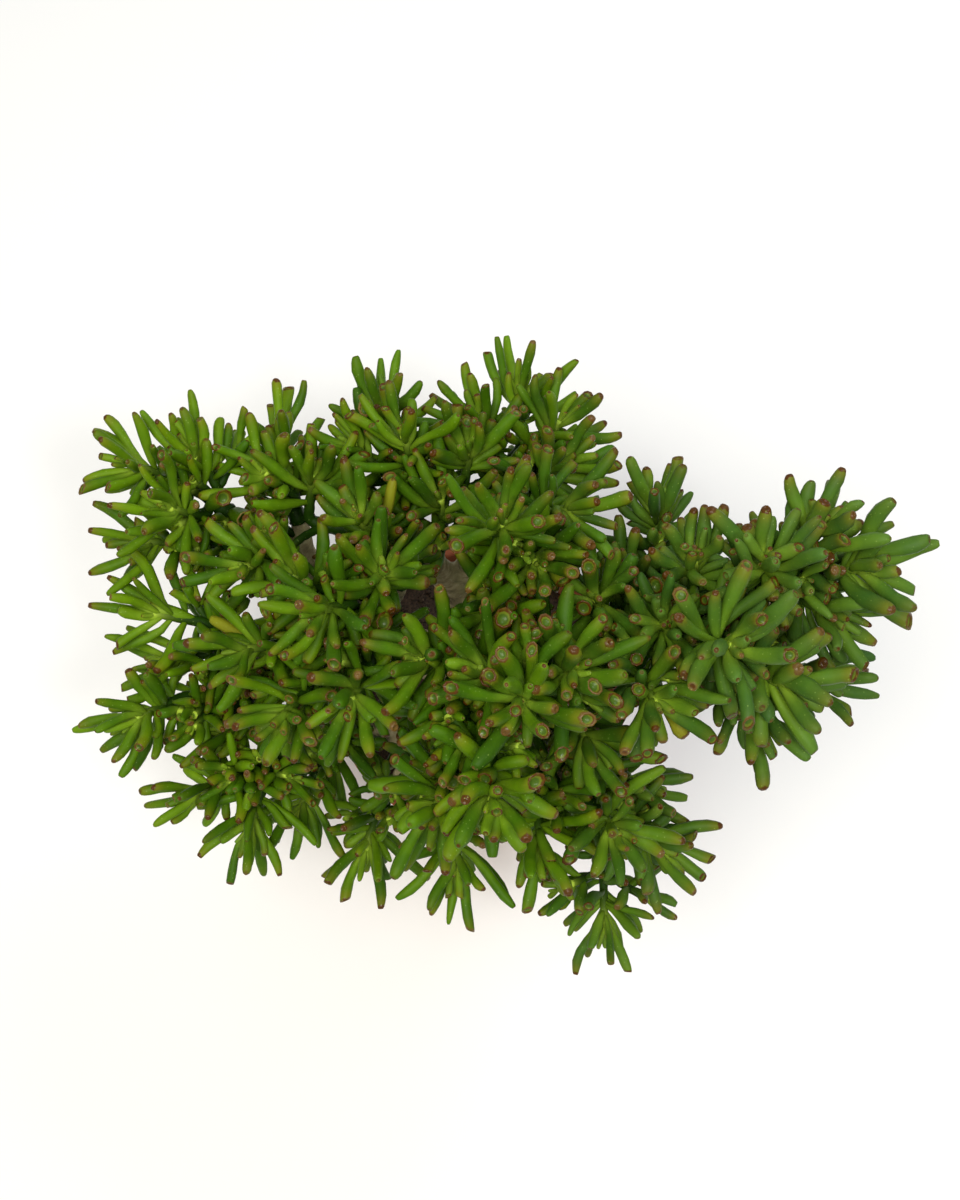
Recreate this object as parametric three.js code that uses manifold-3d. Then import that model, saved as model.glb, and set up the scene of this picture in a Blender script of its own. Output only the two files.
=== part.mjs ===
// Potted gollum jade: a branching succulent with tubular, cup-ended leaves, in a plain clay pot.
// Millimetres, +Z up. The origin is the centre of the pot's flat base, and the front is -Y.
import * as THREE from "three";
import { mergeVertices } from "three/addons/utils/BufferGeometryUtils.js";
import Module from "manifold-3d";

const wasm = await Module();
wasm.setup();

const fitGap = 0.3; // between pieces that rest on or grow out of each other
const pot = {
  height: 150,
  baseRadius: 62,
  neckRadius: 82,
  rimRadius: 91,
  rimHeight: 26,
  rimTaper: 2,
  wall: 7.5,
  floor: 9,
  edge: 1.5,
  sides: 24,
  holeRadius: 6,
  holeCircle: 32,
  holes: 3,
};
const soil = { top: 133, crown: 3, shoulder: 0.6, shoulderRise: 0.7, wellDepth: 38, wellGap: 1 };
const trunk = { radius: 21, taper: 0.95, forkHeight: 182, sides: 8 };
const limb = {
  rise: 0.5,
  follow: 1.2,
  sink: 0.6,
  forkShare: 0.75,
  twigShare: 0.62,
  twigRadius: 5.4,
  sides: 6,
};
const foot = { radius: 4.9, reach: 42 }; // where a spray grows on from its twig
const stem = { tip: 2.1, side: 3.2, fork: 0.5, leafy: 26, neck: 0.3, sides: 4 };

const leafSizes = {
  broad: { length: 38, width: 8.2 },
  full: { length: 38, width: 7.4 },
  plain: { length: 36, width: 6.6 },
  slim: { length: 38, width: 5.8 },
};

// Woody forks: each limb runs from its parent's fork to its own, x, y, z, with its width there.
const forks = {
  west: { from: "trunk", at: [-45, 5, 238], width: 26 },
  westBack: { from: "west", at: [-95, 42, 278], width: 16 },
  westFront: { from: "west", at: [-92, -22, 262], width: 17 },
  westTop: { from: "west", at: [-58, -2, 296], width: 15 },
  back: { from: "trunk", at: [-14, 34, 248], width: 22 },
  backLeft: { from: "back", at: [-42, 58, 286], width: 14 },
  backRight: { from: "back", at: [8, 64, 278], width: 15 },
  crown: { from: "trunk", at: [6, 2, 268], width: 24 },
  crownBack: { from: "crown", at: [20, 22, 322], width: 15 },
  crownFront: { from: "crown", at: [2, -30, 328], width: 17 },
  east: { from: "trunk", at: [50, 4, 236], width: 26 },
  eastBack: { from: "east", at: [82, -2, 288], width: 16 },
  eastOut: { from: "east", at: [118, -10, 300], width: 18 },
  front: { from: "trunk", at: [6, -40, 232], width: 20 },
  frontLeft: { from: "front", at: [-28, -62, 252], width: 14 },
  frontRight: { from: "front", at: [42, -70, 256], width: 16 },
};

// Leafy sprays: each holds its shoots' tips, x, y, z, the way each points, as a heading about Z
// and a rise in degrees, and its leaves' size.
const sprays = {
  westBackA: {
    from: "westBack",
    shoots: [
      [-178, 76, 330, 180, 40, "slim"],
      [-148, 86, 325, 125, 40, "slim"],
      [-156, 50, 340, 195, 60, "slim"],
    ],
  },
  westBackB: {
    from: "westBack",
    shoots: [[-178, 42, 305, 195, 25, "slim"], [-115, 15, 352, 225, 45, "plain"]],
  },
  westBackC: {
    from: "westBack",
    shoots: [[-105, 100, 310, 95, 35, "slim"], [-110, 72, 332, 160, 60, "plain"]],
  },
  backLeftA: {
    from: "backLeft",
    shoots: [[-85, 70, 335, 75, 55, "plain"], [-60, 40, 355, 145, 60, "plain"]],
  },
  backLeftB: {
    from: "backLeft",
    shoots: [
      [-50, 110, 320, 95, 35, "slim"],
      [-38, 85, 350, 110, 60, "slim"],
      [-65, 88, 325, 150, 40, "slim"],
    ],
  },
  backRightA: {
    from: "backRight",
    shoots: [
      [-5, 80, 345, 75, 60, "plain"],
      [-5, 110, 315, 125, 30, "slim"],
      [22, 125, 310, 90, 35, "slim"],
    ],
  },
  backRightB: {
    from: "backRight",
    shoots: [[42, 105, 320, 50, 40, "slim"], [42, 74, 335, 15, 42, "plain"]],
  },
  crownBackA: {
    from: "crownBack",
    shoots: [[10, 15, 425, 0, 85, "plain"], [45, 35, 385, 350, 45, "plain"]],
  },
  crownBackB: {
    from: "crownBack",
    shoots: [[26, 5, 395, 285, 60, "plain"], [5, -15, 378, 260, 65, "plain"]],
  },
  westTopA: {
    from: "westTop",
    shoots: [[-45, 5, 380, 0, 80, "plain"], [-20, 55, 340, 100, 65, "plain"]],
  },
  eastBackA: {
    from: "eastBack",
    shoots: [[55, -5, 370, 200, 80, "plain"], [72, 16, 338, 100, 55, "plain"]],
  },
  crownFrontA: {
    from: "crownFront",
    shoots: [[42, -48, 410, 350, 70, "full"], [18, -65, 425, 270, 70, "full"]],
  },
  crownFrontB: {
    from: "crownFront",
    shoots: [[0, -48, 405, 180, 60, "plain"], [-28, -38, 385, 195, 45, "plain"]],
  },
  westTopB: {
    from: "westTop",
    shoots: [[-60, -55, 375, 250, 50, "plain"], [-68, -25, 345, 225, 30, "slim"]],
  },
  crownFrontC: {
    from: "crownFront",
    shoots: [[5, -105, 400, 270, 45, "full"], [-12, -66, 372, 225, 30, "plain"]],
  },
  frontLeftA: {
    from: "frontLeft",
    shoots: [[-22, -105, 365, 240, 40, "full"], [-12, -124, 300, 265, 5, "slim"]],
  },
  frontLeftB: {
    from: "frontLeft",
    shoots: [[-62, -110, 235, 255, 5, "slim"]],
  },
  frontRightA: {
    from: "frontRight",
    shoots: [[30, -120, 325, 275, 15, "plain"], [65, -110, 330, 295, 50, "plain"]],
  },
  frontRightB: {
    from: "frontRight",
    shoots: [[92, -115, 290, 325, 15, "plain"], [65, -150, 255, 270, 5, "slim"]],
  },
  frontRightC: {
    from: "frontRight",
    shoots: [[85, -80, 280, 350, 15, "plain"], [52, -72, 352, 290, 30, "plain"]],
  },
  eastBackB: {
    from: "eastBack",
    shoots: [[100, 10, 385, 100, 65, "plain"], [90, 55, 330, 90, 35, "plain"]],
  },
  eastOutA: {
    from: "eastOut",
    shoots: [
      [130, 5, 400, 120, 80, "full"],
      [160, 26, 385, 60, 50, "broad"],
      [184, 10, 368, 350, 35, "broad"],
    ],
  },
  eastOutB: {
    from: "eastOut",
    shoots: [[172, -5, 345, 330, 25, "full"], [172, -30, 310, 345, 15, "full"]],
  },
  eastOutC: {
    from: "eastOut",
    shoots: [
      [110, -40, 420, 310, 65, "broad"],
      [142, -48, 375, 330, 30, "broad"],
      [135, -60, 340, 290, 10, "full"],
    ],
  },
  eastBackC: {
    from: "eastBack",
    shoots: [[85, -22, 390, 270, 85, "plain"], [80, -60, 390, 290, 45, "full"]],
  },
  westTopC: {
    from: "westTop",
    shoots: [[-75, -15, 385, 215, 55, "plain"], [-92, 8, 365, 170, 45, "plain"]],
  },
  westFrontA: {
    from: "westFront",
    shoots: [[-170, 6, 300, 175, 25, "slim"], [-168, -14, 278, 190, 10, "slim"]],
  },
  westFrontB: {
    from: "westFront",
    shoots: [[-178, -48, 290, 215, 30, "slim"], [-140, -52, 262, 205, 5, "slim"]],
  },
  westFrontC: {
    from: "westFront",
    shoots: [[-118, -22, 335, 200, 35, "plain"], [-95, -60, 352, 240, 40, "plain"]],
  },
  westFrontD: {
    from: "westFront",
    shoots: [[-150, -84, 270, 210, 20, "slim"], [-120, -102, 268, 255, 5, "slim"]],
  },
  frontLeftC: {
    from: "frontLeft",
    shoots: [[-98, -90, 240, 250, 5, "slim"], [-85, -60, 212, 260, -5, "slim"]],
  },
};

// A shoot's leaf pairs from the tip down: depth below the tip, angle off the stem, size shares.
const pairs = [
  { depth: 0.5, angle: 8, length: 0.22, width: 0.45 },
  { depth: 1.5, angle: 14, length: 0.42, width: 0.65 },
  { depth: 3, angle: 24, length: 0.72, width: 0.85 },
  { depth: 5, angle: 34, length: 0.92, width: 0.95 },
  { depth: 7.5, angle: 44, length: 1, width: 1 },
  { depth: 10.5, angle: 54, length: 1.03, width: 1 },
  { depth: 14, angle: 64, length: 1.05, width: 1 },
  { depth: 18, angle: 74, length: 1, width: 1 },
  { depth: 22.5, angle: 84, length: 0.94, width: 0.95 },
  { depth: 27.5, angle: 94, length: 0.86, width: 0.95 },
];
const modelledPairs = [5, 7, 3]; // the rest of the pairs are too many for faceted solids
const pairTurn = 115;
const leafClearance = 0.9;
const leafShape = { sides: 4, belly: 0.4, fullness: 1.06 }; // full, as flat sides lie inside the round
const leafSpread = { length: 0.24, width: 0.2, angle: 14, turn: 24, leastBend: 6, bend: 22 };
// Leaf ends: the share of leaves up to each, and the rim's width as a share of the leaf's.
const cups = [
  { upTo: 0.24, least: 0.85, range: 0.3 },
  { upTo: 0.62, least: 0.5, range: 0.25 },
  { upTo: 1, least: 0.3, range: 0.15 },
];
const ballShares = [0.25, 0.4, 0.55, 0.7, 0.85, 1]; // where along a leaf its clearance is tested

const up = new THREE.Vector3(0, 0, 1);
const vec = (x, y, z) => new THREE.Vector3(x, y, z);
const radians = THREE.MathUtils.degToRad;

function heading(turn, rise) {
  const flat = Math.cos(radians(rise));
  return vec(flat * Math.cos(radians(turn)), flat * Math.sin(radians(turn)), Math.sin(radians(rise)));
}

// A seeded source of numbers from 0 to 1.
function draws(seed) {
  let state = seed >>> 0;
  return () => {
    state = (state + 0x6d2b79f5) >>> 0;
    let t = Math.imul(state ^ (state >>> 15), state | 1);
    t ^= t + Math.imul(t ^ (t >>> 7), t | 61);
    return ((t ^ (t >>> 14)) >>> 0) / 4294967296;
  };
}

// An outline of radius and height, turned about Y, with its seam and its ends closed up.
function turned(outline, sides) {
  const points = outline.map(([radius, height]) => new THREE.Vector2(radius, height));
  return closed(new THREE.LatheGeometry(points, sides));
}

function closed(geometry) {
  geometry.deleteAttribute("normal");
  geometry.deleteAttribute("uv");
  return mergeVertices(geometry, 1e-5);
}

// A closed geometry as a solid that can be joined and cut.
function solidOf(merged) {
  const index = merged.index.array;
  const triVerts = [];
  for (let i = 0; i < index.length; i += 3) {
    const [a, b, c] = [index[i], index[i + 1], index[i + 2]];
    if (a !== b && b !== c && c !== a) triVerts.push(a, b, c);
  }
  return new wasm.Manifold(
    new wasm.Mesh({
      numProp: 3,
      vertProperties: new Float32Array(merged.attributes.position.array),
      triVerts: new Uint32Array(triVerts),
    }),
  );
}

function join(solids) {
  let level = solids;
  while (level.length > 1) {
    const next = [];
    for (let i = 0; i < level.length; i += 2) {
      next.push(i + 1 < level.length ? level[i].add(level[i + 1]) : level[i]);
    }
    level = next;
  }
  return level[0];
}

// The main body, without the scraps and sealed hollows that joining may leave.
function mainBody(solid) {
  const bodies = solid.decompose();
  return bodies.reduce((most, body) => (body.volume() > most.volume() ? body : most));
}

function geometryOf(solid) {
  const mesh = solid.getMesh();
  const geometry = new THREE.BufferGeometry();
  geometry.setAttribute("position", new THREE.BufferAttribute(new Float32Array(mesh.vertProperties), 3));
  geometry.setIndex(new THREE.BufferAttribute(new Uint32Array(mesh.triVerts), 1));
  geometry.computeVertexNormals();
  return geometry;
}

// Moves a turned shape's rings, whose heights run from 0 to 1, onto a path.
function bendOnto(geometry, path) {
  const position = geometry.attributes.position;
  for (let i = 0; i < position.count; i++) {
    const { point, side, cross } = path(position.getY(i));
    const place = point.clone();
    place.addScaledVector(side, position.getX(i)).addScaledVector(cross, position.getZ(i));
    position.setXYZ(i, place.x, place.y, place.z);
  }
  return geometry;
}

// A tapering stem or limb along a curve, with flat ends square to it.
function taperedTube(curve, startRadius, endRadius, sides) {
  const outline = [[0, 0], [startRadius, 0], [(startRadius + endRadius) / 2, 0.5], [endRadius, 1], [0, 1]];
  const frames = curve.computeFrenetFrames(2, false);
  return bendOnto(turned(outline, sides), (share) => {
    const side = frames.normals[share * 2];
    return { point: curve.getPointAt(share), side, cross: side.clone().cross(frames.tangents[share * 2]) };
  });
}

// A shoot's stem: it curves up from its start, and its leafy end is straight.
function stemTube(shoot) {
  const { curve, tip, tipWay, leafy, footRadius } = shoot;
  const neckRadius = THREE.MathUtils.lerp(stem.tip, footRadius, stem.neck);
  const halfRadius = (footRadius + neckRadius) / 2;
  const outline = [[0, 0], [footRadius, 0], [halfRadius, 0.5], [neckRadius, 1], [stem.tip, 2], [0, 2]];
  const frames = curve.computeFrenetFrames(2, false);
  return bendOnto(turned(outline, stem.sides), (share) => {
    const i = Math.min(share * 2, 2);
    const side = frames.normals[i];
    const point = curve.getPointAt(Math.min(share, 1)).addScaledVector(tipWay, share > 1 ? leafy : 0);
    return { point, side, cross: side.clone().cross(frames.tangents[i]) };
  });
}

function stemCurve(start, startWay, end, endWay) {
  const third = start.distanceTo(end) / 3;
  return new THREE.CubicBezierCurve3(
    start,
    start.clone().addScaledVector(startWay, third),
    end.clone().addScaledVector(endWay, -third),
    end,
  );
}

// Balls along every stem, limb and leaf that is already there, to keep new leaves clear of them.
const crowd = new Map();
const cell = 14;
const cellOf = (ball) => ball.at.toArray().map((value) => Math.floor(value / cell));
const cellKey = (i, j, k) => `${i},${j},${k}`;

function occupy(ball) {
  const key = cellKey(...cellOf(ball));
  if (!crowd.has(key)) crowd.set(key, []);
  crowd.get(key).push(ball);
}

function isClear(balls, owner, shoot) {
  for (const ball of balls) {
    const overPot = Math.hypot(ball.at.x, ball.at.y) < pot.rimRadius + ball.radius + 1;
    if (overPot && ball.at.z < pot.height + ball.radius + 1) return false;
    const [i, j, k] = cellOf(ball);
    for (let n = 0; n < 27; n++) {
      const key = cellKey(i - 1 + (n % 3), j - 1 + (Math.floor(n / 3) % 3), k - 1 + Math.floor(n / 9));
      for (const other of crowd.get(key) ?? []) {
        if (other.shoot === shoot && (ball.share < 0.5 || other.share < 0.5)) continue;
        const apart = other.owner === owner ? 0 : leafClearance;
        if (ball.at.distanceTo(other.at) < ball.radius + other.radius + apart) return false;
      }
    }
  }
  return true;
}

function occupyCurve(curve, startRadius, endRadius, owner, shoot = null) {
  const count = Math.ceil(curve.getLength() / 4);
  for (let i = 0; i <= count; i++) {
    const share = i / count;
    const radius = THREE.MathUtils.lerp(startRadius, endRadius, share);
    occupy({ at: curve.getPointAt(share), radius, owner, shoot, share: 0 });
  }
}

// A leaf follows an arc from the stem's middle, in the plane of the stem and its own heading out.
function leafPath(leaf) {
  const { root, stemWay, out, angle, bend, length } = leaf;
  const cross = out.clone().cross(stemWay);
  return (share) => {
    const lean = angle + bend * share;
    const point = root.clone();
    point.addScaledVector(out, (length * (Math.cos(angle) - Math.cos(lean))) / bend);
    point.addScaledVector(stemWay, (length * (Math.sin(lean) - Math.sin(angle))) / bend);
    const side = out.clone().multiplyScalar(Math.cos(lean)).addScaledVector(stemWay, -Math.sin(lean));
    return { point, side, cross };
  };
}

function leafBalls(leaf, owner, shoot) {
  const path = leafPath(leaf);
  return ballShares.map((share) => {
    const narrow = Math.max(share - ballShares[2], 0) / (1 - ballShares[2]);
    const swell = Math.min(0.55 + share, 1) + (leaf.cup - 1) * narrow;
    const radius = (Math.max(swell, 0.5) * leaf.width * leafShape.fullness) / 2;
    return { at: path(share).point, radius, owner, shoot, share };
  });
}

function leafSolid(leaf) {
  const radius = (leaf.width / 2) * leafShape.fullness;
  const rim = radius * leaf.cup;
  const dish = rim * (leaf.cup > 0.7 ? 0.55 : 0.2);
  const outline = [[0, 0], [radius, leafShape.belly], [rim, 1], [0, 1 - dish / leaf.length]];
  return solidOf(bendOnto(turned(outline, leafShape.sides), leafPath(leaf)));
}

// One leaf of a shoot, as drawn for its place, before it is turned or bent clear.
function drawLeaf(shoot, order, side) {
  const pair = pairs[order];
  const draw = draws(shoot.seed * 1009 + order * 31 + side * 7 + 5);
  const length = shoot.size.length * pair.length * (1 + leafSpread.length * (draw() - 0.5));
  const width = shoot.size.width * pair.width * (1 + leafSpread.width * (draw() - 0.5));
  const angle = pair.angle + leafSpread.angle * (draw() - 0.5);
  const turn = shoot.turn + pairTurn * order + 180 * side + leafSpread.turn * (draw() - 0.5);
  const bend = -(leafSpread.leastBend + leafSpread.bend * draw());
  const kind = draw();
  const end = cups.find(({ upTo }) => kind < upTo);
  const cup = end.least + end.range * draw();
  const root = shoot.tip.clone().addScaledVector(shoot.tipWay, -Math.min(pair.depth, shoot.leafy * 0.95));
  return { root, stemWay: shoot.tipWay, length, width, angle, turn, bend, cup };
}

// The ways in which a leaf may give way to its neighbours, the smallest change first.
const changes = [
  [0, 0, 1], [14, 0, 1], [-14, 0, 1], [0, -12, 1], [0, 12, 1], [26, -8, 1], [-26, -8, 1], [26, 10, 1],
  [-26, 10, 1], [0, -22, 0.95], [0, 0, 0.8], [20, -12, 0.8], [-20, -12, 0.8], [38, -4, 0.85],
  [-38, -4, 0.85],
];

function placeLeaf(shoot, order, side) {
  const drawn = drawLeaf(shoot, order, side);
  for (const [turn, lean, shorten] of changes) {
    const about = radians(drawn.turn + turn);
    const out = shoot.sideways.clone().multiplyScalar(Math.cos(about));
    out.addScaledVector(shoot.crossways, Math.sin(about));
    const leaf = {
      ...drawn,
      out,
      angle: radians(Math.max(drawn.angle + lean, 6)),
      bend: radians(drawn.bend),
      length: drawn.length * shorten,
    };
    const balls = leafBalls(leaf, shoot.spray, shoot);
    if (isClear(balls, shoot.spray, shoot)) {
      balls.forEach(occupy);
      return leaf;
    }
  }
  return null;
}

// Woody limbs from the trunk to each fork, and twigs on to each spray's foot.
const forkEnds = { trunk: { at: vec(0, 0, trunk.forkHeight), way: up.clone(), radius: trunk.radius } };
const limbCurves = [];

function growLimb(from, end, endWay, endRadius, share) {
  const start = from.at.clone().addScaledVector(from.way, -from.radius * limb.sink);
  const chord = end.clone().sub(start).normalize();
  const startWay = from.way.clone().addScaledVector(chord, limb.follow).normalize();
  limbCurves.push({
    curve: stemCurve(start, startWay, end, endWay),
    startRadius: Math.max(from.radius * share, endRadius),
    endRadius,
  });
}

for (const [name, { from, at, width }] of Object.entries(forks)) {
  const parent = forkEnds[from];
  const end = vec(...at);
  const way = end.clone().sub(parent.at).normalize().addScaledVector(up, limb.rise).normalize();
  growLimb(parent, end, way, width / 2, limb.forkShare);
  forkEnds[name] = { at: end, way, radius: width / 2 };
}

const shoots = [];
for (const [spray, { from, shoots: tips }] of Object.entries(sprays)) {
  const middle = vec(0, 0, 0);
  const way = vec(0, 0, 0);
  for (const [x, y, z, turn, rise] of tips) {
    middle.addScaledVector(vec(x, y, z), 1 / tips.length);
    way.add(heading(turn, rise));
  }
  const parent = forkEnds[from];
  const toMiddle = middle.clone().sub(parent.at).normalize();
  way.normalize().add(toMiddle).normalize();
  const at = middle.clone().addScaledVector(way, -foot.reach);
  growLimb(parent, at.clone().addScaledVector(way, -fitGap), way, limb.twigRadius, limb.twigShare);
  let mainStem = null;
  for (const [x, y, z, turn, rise, size] of tips) {
    const tip = vec(x, y, z);
    const tipWay = heading(turn, rise);
    const start = mainStem ? mainStem.getPointAt(0).lerp(mainStem.getPointAt(0.5), stem.fork) : at;
    const leafy = Math.min(stem.leafy, start.distanceTo(tip) * 0.7);
    const curve = stemCurve(start, way, tip.clone().addScaledVector(tipWay, -leafy), tipWay);
    const sideways = tipWay.clone().cross(up).normalize();
    shoots.push({
      spray,
      seed: shoots.length + 1,
      size: leafSizes[size],
      curve,
      tip,
      tipWay,
      leafy,
      footRadius: mainStem ? stem.side : foot.radius,
      sideways,
      crossways: tipWay.clone().cross(sideways),
      turn: (shoots.length * 47) % 180,
      leaves: [],
    });
    mainStem ??= curve;
  }
}

for (const { curve, startRadius, endRadius } of limbCurves) {
  occupyCurve(curve, startRadius, endRadius, "trunk");
}
for (const shoot of shoots) {
  occupyCurve(shoot.curve, shoot.footRadius, stem.side, shoot.spray, shoot);
  const neck = shoot.curve.getPointAt(1);
  occupyCurve(new THREE.LineCurve3(neck, shoot.tip), stem.side, stem.tip, shoot.spray, shoot);
}
for (const order of modelledPairs) {
  for (const shoot of shoots) {
    for (const side of [0, 1]) {
      const leaf = placeLeaf(shoot, order, side);
      if (leaf) shoot.leaves.push(leaf);
    }
  }
}

function potSolid() {
  const innerTop = pot.rimRadius - pot.wall;
  const innerFloor = pot.baseRadius - pot.wall;
  const rimFoot = pot.height - pot.rimHeight;
  const outline = [
    [0, 0], [pot.baseRadius - pot.edge, 0], [pot.baseRadius, pot.edge], [pot.neckRadius, rimFoot],
    [pot.rimRadius - pot.rimTaper, rimFoot], [pot.rimRadius, pot.height - pot.edge],
    [pot.rimRadius - pot.edge, pot.height], [innerTop + pot.edge, pot.height],
    [innerTop, pot.height - pot.edge], [innerFloor, pot.floor], [0, pot.floor],
  ];
  let body = solidOf(turned(outline, pot.sides).rotateX(Math.PI / 2));
  for (let i = 0; i < pot.holes; i++) {
    const about = radians(90 + (360 / pot.holes) * i);
    const hole = closed(new THREE.CylinderGeometry(pot.holeRadius, pot.holeRadius, pot.floor * 3, 12));
    hole.rotateX(Math.PI / 2).translate(pot.holeCircle, 0, 0).rotateZ(about);
    body = body.subtract(solidOf(hole));
  }
  return body;
}

// The pot's inner radius at a height.
function innerRadius(z) {
  const share = (z - pot.floor) / (pot.height - pot.edge - pot.floor);
  return THREE.MathUtils.lerp(pot.baseRadius - pot.wall, pot.rimRadius - pot.wall, share);
}

function soilSolid() {
  const bottom = pot.floor + fitGap;
  const wellRadius = trunk.radius + soil.wellGap;
  const wellBottom = soil.top - soil.wellDepth;
  const outline = [
    [0, bottom], [innerRadius(bottom) - fitGap, bottom], [innerRadius(soil.top) - fitGap, soil.top],
    [innerRadius(soil.top) * soil.shoulder, soil.top + soil.crown * soil.shoulderRise],
    [wellRadius, soil.top + soil.crown],
    [wellRadius, wellBottom], [0, wellBottom],
  ];
  return solidOf(turned(outline, pot.sides).rotateX(Math.PI / 2));
}

function trunkSolid() {
  const bottom = vec(0, 0, soil.top - soil.wellDepth + fitGap);
  const top = forkEnds.trunk.at;
  const line = new THREE.LineCurve3(bottom, top);
  const stock = taperedTube(line, trunk.radius, trunk.radius * trunk.taper, trunk.sides);
  const limbs = limbCurves.map(({ curve, startRadius, endRadius }) => {
    const sides = endRadius === limb.twigRadius ? stem.sides : limb.sides;
    return solidOf(taperedTube(curve, startRadius, endRadius, sides));
  });
  return mainBody(join([solidOf(stock), ...limbs]));
}

function spraySolid(spray) {
  const pieces = [];
  for (const shoot of shoots.filter((s) => s.spray === spray)) {
    pieces.push(solidOf(stemTube(shoot)));
    pieces.push(...shoot.leaves.map(leafSolid));
  }
  return mainBody(join(pieces));
}

const finishes = {
  clay: new THREE.MeshStandardMaterial({ color: 0xb5673f, roughness: 0.85, metalness: 0 }),
  earth: new THREE.MeshStandardMaterial({ color: 0x3a2c20, roughness: 1, metalness: 0 }),
  bark: new THREE.MeshStandardMaterial({ color: 0x756b4c, roughness: 0.8, metalness: 0 }),
  leaf: new THREE.MeshStandardMaterial({ color: 0x4d8018, roughness: 0.35, metalness: 0 }),
};

const plant = new THREE.Group();
function addPiece(name, solid, finish) {
  const mesh = new THREE.Mesh(geometryOf(solid), finish);
  mesh.name = name;
  plant.add(mesh);
}

addPiece("pot", potSolid(), finishes.clay);
addPiece("soil", soilSolid(), finishes.earth);
addPiece("trunk", trunkSolid(), finishes.bark);
for (const spray of Object.keys(sprays)) addPiece(`${spray}Spray`, spraySolid(spray), finishes.leaf);

export default plant;
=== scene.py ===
import bisect
import math
from functools import partial
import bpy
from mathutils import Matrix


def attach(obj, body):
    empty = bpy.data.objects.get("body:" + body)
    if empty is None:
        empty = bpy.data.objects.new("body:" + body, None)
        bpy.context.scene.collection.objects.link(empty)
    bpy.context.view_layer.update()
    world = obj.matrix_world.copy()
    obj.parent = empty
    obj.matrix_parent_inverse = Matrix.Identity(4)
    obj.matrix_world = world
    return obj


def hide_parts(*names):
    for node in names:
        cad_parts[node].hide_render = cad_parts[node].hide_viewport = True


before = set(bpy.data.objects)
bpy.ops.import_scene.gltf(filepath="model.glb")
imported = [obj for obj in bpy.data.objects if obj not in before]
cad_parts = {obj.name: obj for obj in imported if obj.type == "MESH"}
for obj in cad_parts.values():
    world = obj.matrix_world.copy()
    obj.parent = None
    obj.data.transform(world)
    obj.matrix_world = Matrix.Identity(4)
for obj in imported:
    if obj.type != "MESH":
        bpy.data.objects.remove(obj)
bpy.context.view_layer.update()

from types import SimpleNamespace

import bmesh
import bpy
from mathutils import Matrix, Vector, noise

# Potted gollum jade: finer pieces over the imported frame. The studio's values are in metres, and those of
# the plant and pot in millimetres.
scene = bpy.context.scene
scene.view_settings.view_transform = "Standard"
mm = 0.001


def toLinear(hexText):
    channels = [int(hexText[i:i + 2], 16) / 255 for i in (1, 3, 5)]
    return tuple(c / 12.92 if c <= 0.04045 else ((c + 0.055) / 1.055) ** 2.4 for c in channels) + (1.0,)


def addNode(tree, kind, inputs=None, links=None, settings=None, stops=None, output=0):
    node = tree.nodes.new("ShaderNode" + kind)
    for name, value in (settings or {}).items():
        setattr(node, name, value)
    for socket, value in (inputs or {}).items():
        node.inputs[socket].default_value = value
    for socket, source in (links or {}).items():
        tree.links.new(source, node.inputs[socket])
    for i, (place, hexText) in enumerate(stops or []):
        elements = node.color_ramp.elements
        element = elements[i] if i < 2 else elements.new(place)
        element.position = place
        element.color = toLinear(hexText)
    return node.outputs[output] if node.outputs else None


def startMaterial(name):
    material = bpy.data.materials.new(name)
    material.use_nodes = True
    material.node_tree.nodes.clear()
    return material, partial(addNode, material.node_tree)


def finishMaterial(add, finish, links, relief=None, strength=0.0, depth=0.0):  # relief of that depth, in mm
    if relief:
        links["Normal"] = add("Bump", {"Strength": strength, "Distance": depth * mm}, {"Height": relief})
    add("OutputMaterial", links={"Surface": add("BsdfPrincipled", finish, links)})


addedUp = {"operation": "MULTIPLY_ADD"}
colours = {"data_type": "RGBA"}  # sockets 6, 7 and 2 of a mix are then its two colours and its result


def meshFrom(bm, name):
    mesh = bpy.data.meshes.new(name)
    bm.to_mesh(mesh)
    bm.free()
    return mesh


def addObject(name, data):
    item = bpy.data.objects.new(name, data)
    scene.collection.objects.link(item)
    return item


def placePiece(mesh, name, materials, replaced, smooth=True):
    mesh.materials.clear()
    for material in materials:
        mesh.materials.append(material)
    if smooth:
        mesh.shade_smooth()
    piece = addObject(name, mesh)
    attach(piece, "root")
    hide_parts(replaced)


# Camera and studio

shot = {"target": (0, 0.005, 0.33), "distance": 0.75, "elevation": 75, "lens": 45, "clip": (0.01, 60)}
studio = {
    "floorSize": 9,
    "floor": "#f4f4f1",
    "air": "#fdfdff",
    "airStrength": 0.36,
    # where each soft lamp stands, its size, its power in watts and its colour
    "lamps": [
        ((-0.35, -0.4, 2.1), 0.9, 30, "#fffaf0"),
        ((0.7, 1.0, 1.6), 0.8, 10, "#e8f1ff"),
        ((0.4, -0.5, 1.8), 0.2, 8, "#ffffff"),
    ],
}

target = Vector(shot["target"])
elevation = math.radians(shot["elevation"])
camera = addObject("photoCamera", bpy.data.cameras.new("photoCamera"))
camera.location = target + Vector((0, -math.cos(elevation), math.sin(elevation))) * shot["distance"]
camera.rotation_euler = (math.pi / 2 - elevation, 0, 0)
camera.data.lens = shot["lens"]
camera.data.clip_start, camera.data.clip_end = shot["clip"]
scene.camera = camera

bm = bmesh.new()
bmesh.ops.create_grid(bm, x_segments=1, y_segments=1, size=studio["floorSize"] / 2)
floor = addObject("studioFloor", meshFrom(bm, "studioFloor"))
paper, addToPaper = startMaterial("matteBackdropPaper")  # coated paper: pale, with no shine
finishMaterial(addToPaper, {"Base Color": toLinear(studio["floor"]), "Roughness": 0.9}, {})
floor.data.materials.append(paper)

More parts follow.
